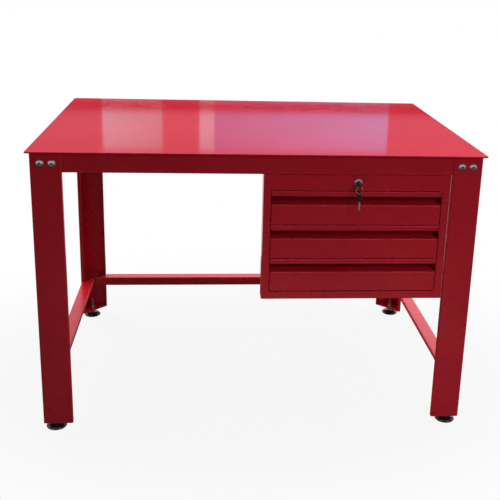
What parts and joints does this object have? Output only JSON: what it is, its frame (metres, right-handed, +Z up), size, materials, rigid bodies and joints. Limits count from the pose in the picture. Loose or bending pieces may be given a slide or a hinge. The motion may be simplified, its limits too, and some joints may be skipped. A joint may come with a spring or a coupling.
{
  "type": "workbench",
  "caption": "Red painted steel workbench with a plate worktop, folded angle legs on levelling feet, low tube stretchers and a lockable drawer unit hung under the right half.",
  "frame": {"origin": "on the floor, under the middle of the whole object's box", "axes": "+X to the right seen from the front, -Y to the front where the drawers open, +Z up"},
  "size_m": [1.2, 0.8736, 0.8],
  "materials": {
    "red_paint": "semi-gloss powder coat",
    "plated_steel": "zinc plated",
    "lock_metal": "satin chrome",
    "black_plastic": "moulded"
  },
  "bodies": {
    "bench": {"cabinet_back": "red_paint", "cabinet_bottom": "red_paint", "cabinet_left_side": "red_paint", "cabinet_right_side": "red_paint", "cabinet_top": "red_paint", "cross_members": "red_paint", "foot_nuts": "plated_steel", "foot_plates": "red_paint", "front_frame": "red_paint", "front_left_leg": "red_paint", "front_rail": "red_paint", "front_right_leg": "red_paint", "hanger_bolts": "plated_steel", "hanger_nuts": "plated_steel", "left_rail": "red_paint", "left_stretcher": "red_paint", "leg_bolts": "plated_steel", "leg_nuts": "plated_steel", "lock_barrel": "lock_metal", "lock_nut": "plated_steel", "rear_left_leg": "red_paint", "rear_rail": "red_paint", "rear_right_leg": "red_paint", "rear_stretcher": "red_paint", "right_rail": "red_paint", "right_stretcher": "red_paint", "slide_outers": "plated_steel", "worktop": "red_paint"},
    "key": {"lock_plug": "lock_metal", "lock_cam": "plated_steel", "cam_screw": "plated_steel", "key_blade": "plated_steel", "key_bow": "black_plastic"},
    "ring": {"key_ring": "plated_steel"},
    "spare_key": {"spare_key_blade": "plated_steel", "spare_key_bow": "black_plastic"},
    "drawer_1": {"drawer_1_front": "red_paint", "drawer_1_tray": "red_paint", "drawer_1_slide_inners": "plated_steel"},
    "drawer_1_slide": {"drawer_1_slide_middles": "plated_steel"},
    "drawer_2": {"drawer_2_front": "red_paint", "drawer_2_tray": "red_paint", "drawer_2_slide_inners": "plated_steel"},
    "drawer_2_slide": {"drawer_2_slide_middles": "plated_steel"},
    "drawer_3": {"drawer_3_front": "red_paint", "drawer_3_tray": "red_paint", "drawer_3_slide_inners": "plated_steel"},
    "drawer_3_slide": {"drawer_3_slide_middles": "plated_steel"},
    "foot_front_left": {"foot_base_front_left": "black_plastic"},
    "stud_front_left": {"foot_stud_front_left": "plated_steel"},
    "foot_front_right": {"foot_base_front_right": "black_plastic"},
    "stud_front_right": {"foot_stud_front_right": "plated_steel"},
    "foot_rear_left": {"foot_base_rear_left": "black_plastic"},
    "stud_rear_left": {"foot_stud_rear_left": "plated_steel"},
    "foot_rear_right": {"foot_base_rear_right": "black_plastic"},
    "stud_rear_right": {"foot_stud_rear_right": "plated_steel"}
  },
  "joints": [
    {"name": "drawer_1", "type": "slide", "parent": "bench", "child": "drawer_1", "axis": [0, -1, 0], "range_m": [0, 0.38], "deforming": ["spare_key_blade", "spare_key_bow"]},
    {"name": "drawer_1_slide", "type": "slide", "parent": "bench", "child": "drawer_1_slide", "axis": [0, -1, 0], "range_m": [0, 0.19]},
    {"name": "drawer_2", "type": "slide", "parent": "bench", "child": "drawer_2", "axis": [0, -1, 0], "range_m": [0, 0.38]},
    {"name": "drawer_2_slide", "type": "slide", "parent": "bench", "child": "drawer_2_slide", "axis": [0, -1, 0], "range_m": [0, 0.19]},
    {"name": "drawer_3", "type": "slide", "parent": "bench", "child": "drawer_3", "axis": [0, -1, 0], "range_m": [0, 0.38]},
    {"name": "drawer_3_slide", "type": "slide", "parent": "bench", "child": "drawer_3_slide", "axis": [0, -1, 0], "range_m": [0, 0.19]},
    {"name": "key_turn", "type": "hinge", "parent": "bench", "child": "key", "pos_m": [0.257, -0.40065, 0.7225], "axis": [0, -1, 0], "range_deg": [0, 90]},
    {"name": "ring_swing", "type": "hinge", "parent": "key", "child": "ring", "pos_m": [0.257, -0.42815, 0.715], "axis": [0, -1, 0], "range_deg": [-100, 100]},
    {"name": "spare_key_swing", "type": "hinge", "parent": "ring", "child": "spare_key", "pos_m": [0.257, -0.42815, 0.70084], "axis": [-1, 0, 0], "range_deg": [-20, 110]},
    {"name": "foot_front_left_height", "type": "slide", "parent": "bench", "child": "foot_front_left", "axis": [0, 0, 1], "range_m": [-0.014, 0]},
    {"name": "foot_front_left_turn", "type": "hinge", "parent": "foot_front_left", "child": "stud_front_left", "pos_m": [-0.56, -0.37315, 0], "axis": [0, 0, 1], "range_deg": [-2880, 0]},
    {"name": "foot_front_right_height", "type": "slide", "parent": "bench", "child": "foot_front_right", "axis": [0, 0, 1], "range_m": [-0.014, 0]},
    {"name": "foot_front_right_turn", "type": "hinge", "parent": "foot_front_right", "child": "stud_front_right", "pos_m": [0.56, -0.37315, 0], "axis": [0, 0, 1], "range_deg": [-2880, 0]},
    {"name": "foot_rear_left_height", "type": "slide", "parent": "bench", "child": "foot_rear_left", "axis": [0, 0, 1], "range_m": [-0.014, 0]},
    {"name": "foot_rear_left_turn", "type": "hinge", "parent": "foot_rear_left", "child": "stud_rear_left", "pos_m": [-0.56, 0.39685, 0], "axis": [0, 0, 1], "range_deg": [-2880, 0]},
    {"name": "foot_rear_right_height", "type": "slide", "parent": "bench", "child": "foot_rear_right", "axis": [0, 0, 1], "range_m": [-0.014, 0]},
    {"name": "foot_rear_right_turn", "type": "hinge", "parent": "foot_rear_right", "child": "stud_rear_right", "pos_m": [0.56, 0.39685, 0], "axis": [0, 0, 1], "range_deg": [-2880, 0]}
  ],
  "couplings": [
    {"joint": "drawer_1_slide", "follows": "drawer_1", "ratio": 0.5},
    {"joint": "drawer_2_slide", "follows": "drawer_2", "ratio": 0.5},
    {"joint": "drawer_3_slide", "follows": "drawer_3", "ratio": 0.5},
    {"joint": "foot_front_left_turn", "follows": "foot_front_left_height", "rad_per_m": 3590.4},
    {"joint": "foot_front_right_turn", "follows": "foot_front_right_height", "rad_per_m": 3590.4},
    {"joint": "foot_rear_left_turn", "follows": "foot_rear_left_height", "rad_per_m": 3590.4},
    {"joint": "foot_rear_right_turn", "follows": "foot_rear_right_height", "rad_per_m": 3590.4}
  ]
}
